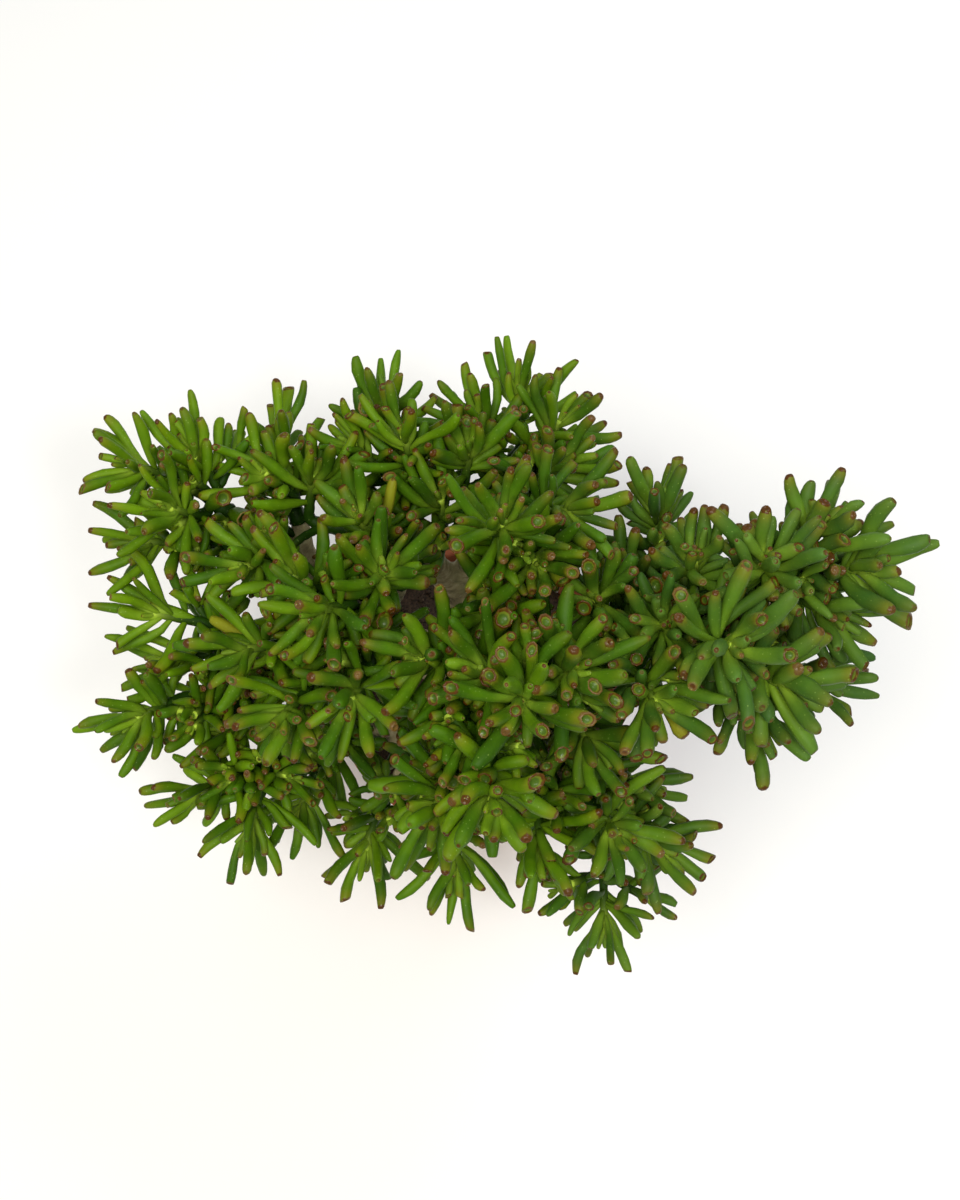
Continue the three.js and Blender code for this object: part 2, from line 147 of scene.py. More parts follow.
world = bpy.data.worlds.new("softStudio")
world.use_nodes = True
air = world.node_tree.nodes["Background"].inputs
air["Color"].default_value = toLinear(studio["air"])
air["Strength"].default_value = studio["airStrength"]
scene.world = world
for i, (place, size, power, colour) in enumerate(studio["lamps"]):
    lamp = bpy.data.lights.new(f"softLamp{i + 1}", "AREA")
    lamp.size = size
    lamp.energy = power
    lamp.color = toLinear(colour)[:3]
    stand = addObject(lamp.name, lamp)
    stand.location = place
    stand.rotation_mode = "QUATERNION"
    stand.rotation_quaternion = (target - Vector(place)).to_track_quat("-Z", "Y")
print("camera and studio ready")


# Sums on points as plain tuples, which keep the source's precision

def plus(a, b, share=1.0):
    return (a[0] + b[0] * share, a[1] + b[1] * share, a[2] + b[2] * share)


def minus(a, b):
    return (a[0] - b[0], a[1] - b[1], a[2] - b[2])


def times(a, share):
    return (a[0] * share, a[1] * share, a[2] * share)


def crossed(a, b):
    return (a[1] * b[2] - a[2] * b[1], a[2] * b[0] - a[0] * b[2], a[0] * b[1] - a[1] * b[0])


def mixed(a, b, share):
    return plus(times(a, 1 - share), b, share)


def unit(a):
    return times(a, 1 / math.hypot(*a))


def heading(turn, rise):
    flat = math.cos(math.radians(rise))
    turned = math.radians(turn)
    return (flat * math.cos(turned), flat * math.sin(turned), math.sin(math.radians(rise)))


def mix(a, b, share):
    return a + (b - a) * share


def clamp(value, low=0.0, high=1.0):
    return min(max(value, low), high)


def easeIn(value):
    share = clamp(value)
    return share * share * (3 - 2 * share)


def draws(seed):  # a seeded source of numbers from 0 to 1, the same as the source's
    bits = 0xFFFFFFFF
    state = seed & bits

    def draw():
        nonlocal state
        state = (state + 0x6D2B79F5) & bits
        t = ((state ^ (state >> 15)) * (state | 1)) & bits
        t ^= (t + (((t ^ (t >> 7)) * (t | 61)) & bits)) & bits
        return (t ^ (t >> 14)) / 4294967296
    return draw


class Curve:  # a stem's smooth run between two points that each have a heading
    steps = 200

    def __init__(self, start, startWay, end, endWay):
        third = math.dist(start, end) / 3
        self.poles = [start, plus(start, startWay, third), plus(end, endWay, -third), end]
        points = [self.pointFor(i / self.steps) for i in range(self.steps + 1)]
        self.lengths = [0.0]
        for a, b in zip(points, points[1:]):
            self.lengths.append(self.lengths[-1] + math.dist(a, b))
        self.length = self.lengths[-1]

    def pointFor(self, t):
        k = 1 - t
        shares = (k * k * k, 3 * k * k * t, 3 * k * t * t, t * t * t)
        return tuple(sum(s * p[axis] for s, p in zip(shares, self.poles)) for axis in range(3))

    def at(self, share):
        wanted = share * self.length
        before = bisect.bisect_right(self.lengths, wanted) - 1
        if before == self.steps:
            return self.pointFor(1.0)
        step = self.lengths[before + 1] - self.lengths[before]
        return self.pointFor((before + (wanted - self.lengths[before]) / step) / self.steps)

    def way(self, share):
        return unit(minus(self.at(min(share + 0.01, 1)), self.at(max(share - 0.01, 0))))


# The branching: the source's values and its rule for where every limb, stem and leaf lies

fitGap = 0.3
pot = {"height": 150, "baseRadius": 62, "neckRadius": 82, "rimRadius": 91, "rimHeight": 26, "rimTaper": 2,
       "wall": 7.5, "floor": 9, "holeRadius": 6, "holeCircle": 32, "holes": 3}
soil = {"top": 133, "crown": 3}
trunk = {"radius": 21, "taper": 0.95, "forkHeight": 182, "bottom": 95.3}
limb = {"rise": 0.5, "follow": 1.2, "sink": 0.6, "forkShare": 0.75, "twigShare": 0.62, "twigRadius": 5.4}
foot = {"radius": 4.9, "reach": 42}
stem = {"tip": 2.1, "side": 3.2, "fork": 0.5, "leafy": 26, "leafyShare": 0.7, "neck": 0.3}
leafSizes = {
    "broad": (38, 8.2), "full": (38, 7.4), "plain": (36, 6.6), "slim": (38, 5.8),
    "bud": (19, 5.4), "sprig": (27, 6),  # these two are the looks' own
}
forks = {  # each limb's parent, where its middle line ends, and its width there
    "west": ("trunk", (-45, 5, 238), 26),
    "westBack": ("west", (-95, 42, 278), 16),
    "westFront": ("west", (-92, -22, 262), 17),
    "westTop": ("west", (-58, -2, 296), 15),
    "back": ("trunk", (-14, 34, 248), 22),
    "backLeft": ("back", (-42, 58, 286), 14),
    "backRight": ("back", (8, 64, 278), 15),
    "crown": ("trunk", (6, 2, 268), 24),
    "crownBack": ("crown", (20, 22, 322), 15),
    "crownFront": ("crown", (2, -30, 328), 17),
    "east": ("trunk", (50, 4, 236), 26),
    "eastBack": ("east", (82, -2, 288), 16),
    "eastOut": ("east", (118, -10, 300), 18),
    "front": ("trunk", (6, -40, 232), 20),
    "frontLeft": ("front", (-28, -62, 252), 14),
    "frontRight": ("front", (42, -70, 256), 16),
}
sprays = {  # each shoot's tip at x, y, z, its turn and rise, and the size of its leaves
    "westBackA": [(-178, 76, 330, 180, 40, "slim"), (-148, 86, 325, 125, 40, "slim"),
        (-156, 50, 340, 195, 60, "slim")],
    "westBackB": [(-178, 42, 305, 195, 25, "slim"), (-115, 15, 352, 225, 45, "plain")],
    "westBackC": [(-105, 100, 310, 95, 35, "slim"), (-110, 72, 332, 160, 60, "plain")],
    "backLeftA": [(-85, 70, 335, 75, 55, "plain"), (-60, 40, 355, 145, 60, "plain")],
    "backLeftB": [(-50, 110, 320, 95, 35, "slim"), (-38, 85, 350, 110, 60, "slim"),
        (-65, 88, 325, 150, 40, "slim")],
    "backRightA": [(-5, 80, 345, 75, 60, "plain"), (-5, 110, 315, 125, 30, "slim"),
        (22, 125, 310, 90, 35, "slim")],
    "backRightB": [(42, 105, 320, 50, 40, "slim"), (42, 74, 335, 15, 42, "plain")],
    "crownBackA": [(10, 15, 425, 0, 85, "plain"), (45, 35, 385, 350, 45, "plain")],
    "crownBackB": [(26, 5, 395, 285, 60, "plain"), (5, -15, 378, 260, 65, "plain")],
    "westTopA": [(-45, 5, 380, 0, 80, "plain"), (-20, 55, 340, 100, 65, "plain")],
    "eastBackA": [(55, -5, 370, 200, 80, "plain"), (72, 16, 338, 100, 55, "plain")],
    "crownFrontA": [(42, -48, 410, 350, 70, "full"), (18, -65, 425, 270, 70, "full")],
    "crownFrontB": [(0, -48, 405, 180, 60, "plain"), (-28, -38, 385, 195, 45, "plain")],
    "westTopB": [(-60, -55, 375, 250, 50, "plain"), (-68, -25, 345, 225, 30, "slim")],
    "crownFrontC": [(5, -105, 400, 270, 45, "full"), (-12, -66, 372, 225, 30, "plain")],
    "frontLeftA": [(-22, -105, 365, 240, 40, "full"), (-12, -124, 300, 265, 5, "slim")],
    "frontLeftB": [(-62, -110, 235, 255, 5, "slim")],
    "frontRightA": [(30, -120, 325, 275, 15, "plain"), (65, -110, 330, 295, 50, "plain")],
    "frontRightB": [(92, -115, 290, 325, 15, "plain"), (65, -150, 255, 270, 5, "slim")],
    "frontRightC": [(85, -80, 280, 350, 15, "plain"), (52, -72, 352, 290, 30, "plain")],
    "eastBackB": [(100, 10, 385, 100, 65, "plain"), (90, 55, 330, 90, 35, "plain")],
    "eastOutA": [(130, 5, 400, 120, 80, "full"), (160, 26, 385, 60, 50, "broad"),
        (184, 10, 368, 350, 35, "broad")],
    "eastOutB": [(172, -5, 345, 330, 25, "full"), (172, -30, 310, 345, 15, "full")],
    "eastOutC": [(110, -40, 420, 310, 65, "broad"), (142, -48, 375, 330, 30, "broad"),
        (135, -60, 340, 290, 10, "full")],
    "eastBackC": [(85, -22, 390, 270, 85, "plain"), (80, -60, 390, 290, 45, "full")],
    "westTopC": [(-75, -15, 385, 215, 55, "plain"), (-92, 8, 365, 170, 45, "plain")],
    "westFrontA": [(-170, 6, 300, 175, 25, "slim"), (-168, -14, 278, 190, 10, "slim")],
    "westFrontB": [(-178, -48, 290, 215, 30, "slim"), (-140, -52, 262, 205, 5, "slim")],
    "westFrontC": [(-118, -22, 335, 200, 35, "plain"), (-95, -60, 352, 240, 40, "plain")],
    "westFrontD": [(-150, -84, 270, 210, 20, "slim"), (-120, -102, 268, 255, 5, "slim")],
    "frontLeftC": [(-98, -90, 240, 250, 5, "slim"), (-85, -60, 212, 260, -5, "slim")],
}
pairs = [  # depth below the tip, angle off the stem, share of length, share of width
    (0.5, 10, 0.2, 0.36), (1.5, 16, 0.34, 0.5), (3, 26, 0.62, 0.72), (5, 34, 0.92, 0.95), (7.5, 44, 1, 1),
    (10.5, 54, 1.03, 1), (14, 64, 1.05, 1), (18, 74, 1, 1), (22.5, 84, 0.94, 0.95), (27.5, 94, 0.86, 0.95),
]
sourcePairs = len(pairs)
pairs += [  # more that only the looks have, between the others and further down
    (6.2, 40, 0.9, 0.92), (12, 60, 0.95, 0.95), (16, 70, 0.8, 0.9), (32, 88, 0.85, 0.92),
    (38, 84, 0.8, 0.9), (45, 80, 0.72, 0.85), (52, 78, 0.66, 0.8),
]
modelledPairs = [5, 7, 3]  # the source's own, which come first so that they lie where its leaves do
addedPairs = [4, 6, 8, 2, 9, 1, 0, 10, 11, 13, 12, 14, 15, 16]
addedEase = 0.74  # the added leaves may touch and press on their neighbours
shootTurn = 47
pairTurn = 115
leafClearance = 0.9
fullness = 1.06
leafSpread = {"length": 0.24, "width": 0.2, "angle": 14, "turn": 24, "leastBend": 6, "bend": 22}
# the looks' own leaves are less alike
addedSpread = {"length": (0.5, 1.08), "width": (0.78, 1.08), "angle": 22, "turn": 36, "bend": (-42, 12)}
cups = [(0.24, 0.85, 0.3), (0.62, 0.5, 0.25), (1, 0.3, 0.15)]  # up to which share, least open end, spread
ballShares = [0.25, 0.4, 0.55, 0.7, 0.85, 1]
# more turn, more lean and a share of the length, tried in turn until a leaf has room
changes = [
    (0, 0, 1), (14, 0, 1), (-14, 0, 1), (0, -12, 1), (0, 12, 1), (26, -8, 1), (-26, -8, 1), (26, 10, 1),
    (-26, 10, 1), (0, -22, 0.95), (0, 0, 0.8), (20, -12, 0.8), (-20, -12, 0.8), (38, -4, 0.85),
    (-38, -4, 0.85),
]
up = (0.0, 0.0, 1.0)
# where the floor shows between the sprays: each opening's middle and half-widths, across the camera's
# line of sight
openings = [
    ((-130, 53), (11, 10)), ((-84, 38), (12, 15)), ((-158, 12), (12, 6)), ((-152, -12), (10, 8)),
    ((-65, -88), (5, 8)), ((70, 0), (3, 3)), ((85, -85), (4, 4)), ((-4, 60), (3, 3)), ((-50, 60), (4, 4)),
    ((-12, 12), (8, 13)), ((-30, 0), (8, 5)),
]
openingEase = 0.6  # how much of a leaf's radius stays out of an opening
# the largest open leaf ends: place across and up in the picture, height, width, and how far it has dried
dishes = [
    (-116, 40, 330, 11, 1), (-129, 50, 330, 8.5, 0), (-107, 46, 325, 8.5, 0), (-166, -4, 300, 8.5, 0),
    (-124, -16, 320, 10, 0), (-49, -12, 370, 9, 0), (-48, 42, 365, 8, 0), (-59, 95, 345, 8, 0.6),
    (11, -10, 400, 9, 0), (43, 8, 395, 8, 0), (138, 22, 400, 10, 0), (165, 25, 395, 8.5, 0),
    (4, -41, 420, 7.5, 0), (88, 6, 370, 8.5, 0), (50, -6, 390, 7.5, 0), (3, -91, 400, 7.5, 0),
    (-13, -93, 385, 7.5, 0.5),
]
dishLook = {
    "length": 26,
    "rises": (0, 6, -6, 12, -12, 18, 24),  # tried in turn until it has room
    "roots": 12,  # places along each stem that it may grow from
    "cup": 0.95,
    "shown": 0.97,
    "lean": 1,
    "bend": 2,
    "order": 10,
    "seed": 5000,
    "free": 3,  # the balls from this one on need clear room
}
eye = tuple(camera.location / mm)
sightAxes = [tuple(axis) for axis in camera.rotation_euler.to_matrix().col]
potMargin = 1
ballStep = 4
cell = 14  # the balls that fill the plant are sorted into cubes of this size
crowd = {}


def cellOf(point):
    return tuple(math.floor(value / cell) for value in point)


def occupy(point, radius, owner, shoot, share):
    crowd.setdefault(cellOf(point), []).append((point, radius, owner, shoot, share))


def occupyLeaf(balls, shoot):
    for point, radius, share in balls:
        occupy(point, radius, shoot.spray, shoot.seed, share)


def isClear(balls, owner, shoot, ease):
    for point, radius, share in balls:
        overPot = math.hypot(point[0], point[1]) < pot["rimRadius"] + radius + potMargin
        if overPot and point[2] < pot["height"] + radius + potMargin:
            return False
        i, j, k = cellOf(point)
        for n in range(27):
            for other in crowd.get((i - 1 + n % 3, j - 1 + n // 3 % 3, k - 1 + n // 9), ()):
                if other[3] == shoot and (share < 0.5 or other[4] < 0.5):
                    continue
                apart = 0 if other[2] == owner or ease < 1 else leafClearance
                if math.dist(point, other[0]) < (radius + other[1]) * ease + apart:
                    return False
    return True


def inOpening(point, radius):
    away = minus(point, eye)
    across, upward, back = (sum(a * b for a, b in zip(away, axis)) for axis in sightAxes)
    scale = shot["distance"] / mm / -back
    for (middleAcross, middleUp), (halfAcross, halfUp) in openings:
        first = (across * scale - middleAcross) / (halfAcross + radius * openingEase)
        second = (upward * scale - middleUp) / (halfUp + radius * openingEase)
        if first * first + second * second < 1:
            return True
    return False


def inSight(across, upward, z):  # the point at that height on the line of sight through a place in view
    way = plus(times(sightAxes[2], -shot["distance"] / mm), sightAxes[0], across)
    way = plus(way, sightAxes[1], upward)
    return plus(eye, way, (z - eye[2]) / way[2])


def leafPoint(leaf, share):
    lean = leaf.angle + leaf.bend * share
    reach = leaf.length / leaf.bend
    point = plus(leaf.root, leaf.out, reach * (math.cos(leaf.angle) - math.cos(lean)))
    point = plus(point, leaf.stemWay, reach * (math.sin(lean) - math.sin(leaf.angle)))
    side = plus(times(leaf.out, math.cos(lean)), leaf.stemWay, -math.sin(lean))
    return point, side


def leafBalls(leaf):
    balls = []
    for share in ballShares:
        narrow = max(share - ballShares[2], 0) / (1 - ballShares[2])
        swell = min(0.55 + share, 1) + (leaf.cup - 1) * narrow
        balls.append((leafPoint(leaf, share)[0], max(swell, 0.5) * leaf.width * fullness / 2, share))
    return balls


def placeLeaf(shoot, order, side, ease):
    depth, pairAngle, pairLength, pairWidth = pairs[order]
    draw = draws(shoot.seed * 1009 + order * 31 + side * 7 + 5)
    length, width = leafSizes[shoot.size]
    length *= pairLength * (1 + leafSpread["length"] * (draw() - 0.5))
    width *= pairWidth * (1 + leafSpread["width"] * (draw() - 0.5))
    angle = pairAngle + leafSpread["angle"] * (draw() - 0.5)
    turn = shoot.turn + pairTurn * order + 180 * side + leafSpread["turn"] * (draw() - 0.5)
    bend = -(leafSpread["leastBend"] + leafSpread["bend"] * draw())
    kind = draw()
    least, spread = next((least, spread) for upTo, least, spread in cups if kind < upTo)
    cup = least + spread * draw()
    ownLeaf = order not in modelledPairs or shoot.size in ("bud", "sprig")
    if ownLeaf:
        length *= mix(*addedSpread["length"], draw())
        width *= mix(*addedSpread["width"], draw())
        angle += addedSpread["angle"] * (draw() - 0.5)
        turn += addedSpread["turn"] * (draw() - 0.5)
        bend = mix(*addedSpread["bend"], draw()) or 1
    deepest = shoot.leafy * 0.95
    root = plus(shoot.tip, shoot.tipWay, -min(depth, deepest))
    if order >= sourcePairs and depth > shoot.leafy:
        root = shoot.curve.at(max(1 - (depth - shoot.leafy) / shoot.curve.length, 0.1))
    for moreTurn, moreLean, shorten in changes:
        about = math.radians(turn + moreTurn)
        out = plus(times(shoot.sideways, math.cos(about)), shoot.crossways, math.sin(about))
        leaf = SimpleNamespace(
            root=root, stemWay=shoot.tipWay, out=out, cup=cup, width=width, length=length * shorten,
            angle=math.radians(max(angle + moreLean, 6)), bend=math.radians(bend), order=order, draw=draw,
            shown=None, dry=None,
        )
        balls = leafBalls(leaf)
        if ownLeaf and any(inOpening(point, radius) for point, radius, share in balls):
            continue
        if isClear(balls, shoot.spray, shoot.seed, ease):
            occupyLeaf(balls, shoot)
            return leaf
    return None


def growLeaves(stems, order, ease):
    for shoot in stems:
        for side in (0, 1):
            leaf = placeLeaf(shoot, order, side, ease)
            if leaf:
                shoot.leaves.append(leaf)


def growLimb(origin, end, endWay, endRadius, share):
    at, way, radius = origin
    start = plus(at, way, -radius * limb["sink"])
    chord = unit(minus(end, start))
    startWay = unit(plus(way, chord, limb["follow"]))
    limbs.append((Curve(start, startWay, end, endWay), max(radius * share, endRadius), endRadius))


def occupyCurve(pointAt, length, startRadius, endRadius, owner, shoot=None):
    count = math.ceil(length / ballStep)
    for i in range(count + 1):
        occupy(pointAt(i / count), mix(startRadius, endRadius, i / count), owner, shoot, 0)


def placeDish(n, across, upward, z, width, dry):
    roots = dishLook["roots"]
    for rise in dishLook["rises"]:
        tip = inSight(across, upward, z + rise)
        below = plus(tip, unit(minus(eye, tip)), -dishLook["length"])
        places = [(shoot, shoot.curve.at(i / roots)) for shoot in shoots for i in range(roots + 1)]
        shoot, root = min(places, key=lambda place: math.dist(place[1], below))
        way = unit(minus(tip, root))
        leaf = SimpleNamespace(
            root=root, stemWay=way, out=unit(crossed(way, (1.0, 0.0, 0.0))), width=width, dry=dry,
            length=math.dist(root, tip), angle=math.radians(dishLook["lean"]), cup=dishLook["cup"],
            bend=math.radians(dishLook["bend"]), shown=dishLook["shown"], order=dishLook["order"],
            draw=draws(dishLook["seed"] + n),
        )
        balls = leafBalls(leaf)
        if isClear(balls[dishLook["free"]:], shoot.spray, shoot.seed, addedEase):
            occupyLeaf(balls, shoot)
            shoot.leaves.append(leaf)
            return 1
    return 0


limbs = []
forkEnds = {"trunk": ((0.0, 0.0, float(trunk["forkHeight"])), up, trunk["radius"])}
for name, (parentName, end, width) in forks.items():
    parent = forkEnds[parentName]
    way = unit(plus(unit(minus(end, parent[0])), up, limb["rise"]))
    growLimb(parent, end, way, width / 2, limb["forkShare"])
    forkEnds[name] = (end, way, width / 2)

shoots = []
for spray, tips in sprays.items():
    middle = (0.0, 0.0, 0.0)
    way = (0.0, 0.0, 0.0)
    for x, y, z, turn, rise, size in tips:
        middle = plus(middle, (x, y, z), 1 / len(tips))
        way = plus(way, heading(turn, rise))
    parent = forkEnds[spray[:-1]]  # a spray is named for its limb, with a letter added
    way = unit(plus(unit(way), unit(minus(middle, parent[0]))))
    at = plus(middle, way, -foot["reach"])
    growLimb(parent, plus(at, way, -fitGap), way, limb["twigRadius"], limb["twigShare"])
    mainStem = None
    for x, y, z, turn, rise, size in tips:
        tip = (float(x), float(y), float(z))
        tipWay = heading(turn, rise)
        start = mixed(mainStem.at(0), mainStem.at(0.5), stem["fork"]) if mainStem else at
        leafy = min(stem["leafy"], math.dist(start, tip) * stem["leafyShare"])
        curve = Curve(start, way, plus(tip, tipWay, -leafy), tipWay)
        sideways = unit(crossed(tipWay, up))
        shoots.append(SimpleNamespace(
            spray=spray, seed=len(shoots) + 1, size=size, curve=curve, tip=tip, tipWay=tipWay, leafy=leafy,
            footRadius=stem["side"] if mainStem else foot["radius"], sideways=sideways,
            crossways=crossed(tipWay, sideways), turn=len(shoots) * shootTurn % 180, leaves=[],
        ))
        mainStem = mainStem or curve

for curve, startRadius, endRadius in limbs:
    occupyCurve(curve.at, curve.length, startRadius, endRadius, "trunk")
for shoot in shoots:
    seed = shoot.seed
    curve = shoot.curve
    neck = curve.at(1)
    leafyEnd = (lambda share, neck=neck, tip=shoot.tip: mixed(neck, tip, share))
    occupyCurve(curve.at, curve.length, shoot.footRadius, stem["side"], shoot.spray, seed)
    occupyCurve(leafyEnd, math.dist(neck, shoot.tip), stem["side"], stem["tip"], shoot.spray, seed)
for order in modelledPairs:
    growLeaves(shoots, order, 1.0)
print("leaves where the source has them:", sum(len(shoot.leaves) for shoot in shoots))
print("large open ends placed:", sum(placeDish(n, *dish) for n, dish in enumerate(dishes)))
for order in addedPairs:
    growLeaves(shoots, order, addedEase)
print("leaves on the shoots:", sum(len(shoot.leaves) for shoot in shoots))

# Side shoots: short new ones low on the stems and twigs, whose small leaves fill the gaps

budLook = {
    "each": 4,
    "tries": 24,
    "orders": (3, 5, 7, 1),
    # each kind's length above the bark, and how much of it is leafy
    "kinds": {"bud": ((6, 18), 8), "sprig": ((12, 26), 13)},
    "sprigShare": 0.4,
    "leafyShare": 0.6,
    "radius": 2.3,
    "tipRadius": 2.0,
    "along": 0.4,  # how much it leans along its host and turns up, as shares of its way out
    "upward": 0.75,
    "room": ((1, 2.4), (0.7, 1.8)),  # share of its length, and radius, of the balls that need clear room
    "openingGap": 5,
    "soilGap": 20,
    "leastLeaves": 3,
    "seed": 1000,
}


def levelAcross(way):  # or along x where the stem stands nearly upright
    return unit(crossed(way, up)) if abs(way[2]) < 0.99 else (1.0, 0.0, 0.0)


twigs = {spray: limbs[len(forks) + i][0] for i, spray in enumerate(sprays)}
buds = []
for shoot in shoots:
    draw = draws(shoot.seed * 733 + 11)
    grown = 0
    hosts = [(shoot.curve, shoot.footRadius)]
    if shoot.footRadius == foot["radius"]:
        hosts.append((twigs[shoot.spray], limb["twigRadius"]))
    for n in range(budLook["tries"] * len(hosts)):
        if grown == budLook["each"] * len(hosts):
            break
        host, hostRadius = hosts[n % len(hosts)]
        hostShare = mix(0.1, 1, draw())
        base = host.at(hostShare)
        way = host.way(hostShare)
        sideways = levelAcross(way)
        around = draw() * 2 * math.pi
        out = plus(times(sideways, math.cos(around)), crossed(way, sideways), math.sin(around))
        tipWay = unit(plus(plus(out, way, budLook["along"]), up, budLook["upward"]))
        kind = "sprig" if draw() < budLook["sprigShare"] else "bud"
        reaches, leafy = budLook["kinds"][kind]
        reach = mix(*reaches, draw()) + hostRadius
        tip = plus(base, tipWay, reach)
        if inOpening(tip, budLook["openingGap"]) or tip[2] < soil["top"] + budLook["soilGap"]:
            continue
        balls = [(plus(base, tipWay, reach * share), radius, 1) for share, radius in budLook["room"]]
        if not isClear(balls, shoot.spray, -1, addedEase):
            continue
        grown += 1
        sideways = levelAcross(tipWay)
        leafy = min(leafy, reach * budLook["leafyShare"])
        seed = budLook["seed"] + len(buds)
        buds.append(SimpleNamespace(
            spray=shoot.spray, seed=seed, size=kind, tip=tip, tipWay=tipWay, leafy=leafy,
            curve=Curve(base, out, plus(tip, tipWay, -leafy), tipWay), footRadius=budLook["radius"],
            sideways=sideways, crossways=crossed(tipWay, sideways), turn=draw() * 180, leaves=[],
        ))
        occupy(tip, budLook["tipRadius"], shoot.spray, seed, 0)
for order in budLook["orders"]:
    growLeaves(buds, order, addedEase)
buds = [bud for bud in buds if len(bud.leaves) >= budLook["leastLeaves"]]
print("side shoots:", len(buds), "with", sum(len(bud.leaves) for bud in buds), "leaves")


# Stems and limbs as tubes, grown ring by ring

def ringPlaces(curve, radiusAt, count, tail=0.0, tailWay=None):
    places = []
    turned = None
    lastWay = None
    total = curve.length + tail
    for i in range(count + 1):
        distance = total * i / count
        if distance <= curve.length or tailWay is None:
            share = min(distance / curve.length, 1.0)
            point = curve.at(share)
            way = Vector(curve.way(share))
        else:
            point = plus(curve.at(1), tailWay, distance - curve.length)
            way = Vector(tailWay)
        turned = lastWay.rotation_difference(way) @ turned if turned else way.to_track_quat("Z", "Y")
        lastWay = way
        size = Matrix.Diagonal((radiusAt(distance / total) * mm,) * 3).to_4x4()
        places.append(Matrix.Translation(Vector(point) * mm) @ turned.to_matrix().to_4x4() @ size)
    return places


def growTube(bm, places, sides):
    start = bmesh.ops.create_circle(bm, cap_ends=True, segments=sides, radius=1, matrix=places[0])
    rings = [start["verts"]]
    edges = {edge for vert in start["verts"] for edge in vert.link_edges}
    for before, after in zip(places, places[1:]):
        grown = bmesh.ops.extrude_edge_only(bm, edges=list(edges))["geom"]
        ring = [part for part in grown if isinstance(part, bmesh.types.BMVert)]
        inRing = set(ring)
        edges = {edge for vert in ring for edge in vert.link_edges if inRing.issuperset(edge.verts)}
        bmesh.ops.transform(bm, matrix=after @ before.inverted(), verts=ring)
        rings.append(ring)
    bmesh.ops.contextual_create(bm, geom=list(edges))
    return rings


# Leaves: one mould of rings, bent onto each leaf's own path

leafLook = {
    "sides": 8,
    "shares": [0.04, 0.24, 0.46, 0.66, 0.82, 0.92, 0.975, 1.0],  # along the leaf, for each ring
    "foot": 0.4,  # width where it leaves the stem, as a share of its widest
    "belly": (0.48, 0.8),  # where it is widest
    "shoulder": 0.06,  # how far past the belly it starts to round in
    "blunt": (1.4, 2.6),
    # how wide the open end is drawn: up to this width this share of the solid's, and beyond both in a range
    "narrow": (0.48, 0.88),
    "middling": (0.8, 0.74),
    "wideOpen": (0.62, 0.98),
    "openBelly": (0.75, 0.86),  # from this open end on, the leaf is widest here
    "lip": 0.82,
    "throat": 0.52,
    "dishFrom": 0.7,  # from this open end on, it is a wide dish
    "wideDish": 0.7,  # depth of a wide dish as a share of its rim, and of a small tip's dimple
    "dimple": 0.35,
    "slant": 0.5,  # how far a wide dish faces up along its shoot
    "oval": 0.1,
    "lumps": 0.09,
    "lumpy": (0.2, 0.9),  # the lumps keep off the foot and the end
    "kink": 2.0,  # how far a leaf of the plain length wavers from its path
    "plainLength": 36,
}
leafTints = {
    "tone": 0.35,
    # how strongly the painted sun light pales the leaves
    "sun": 0.6,
    "dark": 0.12,
    "foot": 0.35,
    # strength of the painted bluish sheen and painted shade
    "cool": 0.7,
    "warm": 0.6,
    "old": 0.75,
    "oldShare": 0.99,
    "cap": (0.012, 0.055),  # length of the brown end, as a share of the leaf
    "ring": 0.022,
    "dry": 0.4,
    "young": 0.8,
}
# past is how far a point lies beyond the start of the brown end, and the others are shares from 0 to 1
layerNames = ("toneAndPaintedSun", "old", "dry", "foot", "cool", "warm", "past", "cap", "dish", "glow", "woody")


def shownCup(cup, draw):
    for upTo, share in (leafLook["narrow"], leafLook["middling"]):
        if cup <= upTo:
            return cup * share
    return mix(*leafLook["wideOpen"], draw() ** 1.3)


def makeLeafMould():
    bm = bmesh.new()
    ringCount = len(leafLook["shares"]) + 2
    growTube(bm, [Matrix.Translation((0, 0, i)) for i in range(ringCount)], leafLook["sides"])
    for face in [face for face in bm.faces if len(face.verts) == leafLook["sides"]]:
        bmesh.ops.poke(bm, faces=[face])
    return meshFrom(bm, "leafMould")


mould = makeLeafMould()
mouldVerts = [(round(vert.co.z), vert.co.x, vert.co.y) for vert in mould.vertices]


def leafRings(leaf, cup, draw):
    upTo, openBelly = leafLook["openBelly"]
    belly = mix(*leafLook["belly"], draw()) if cup < upTo else openBelly
    shoulder = belly + leafLook["shoulder"]
    blunt = mix(*leafLook["blunt"], draw())
    rings = []
    for share in leafLook["shares"]:
        if share <= shoulder:
            swell = mix(leafLook["foot"], 1, math.sin(clamp(share / belly) * math.pi / 2) ** 1.25)
        else:
            past = (share - shoulder) / (1 - shoulder)
            swell = cup + (1 - cup) * (1 - past ** blunt) ** 0.6
        rings.append((share, swell))
    hollow = leafLook["wideDish"] if cup > leafLook["dishFrom"] else leafLook["dimple"]
    depth = hollow * cup * leaf.width / 2 / leaf.length
    rings.append((1 - depth * 0.12, cup * leafLook["lip"]))
    rings.append((1 - depth * 0.85, cup * leafLook["throat"]))
    return rings, depth


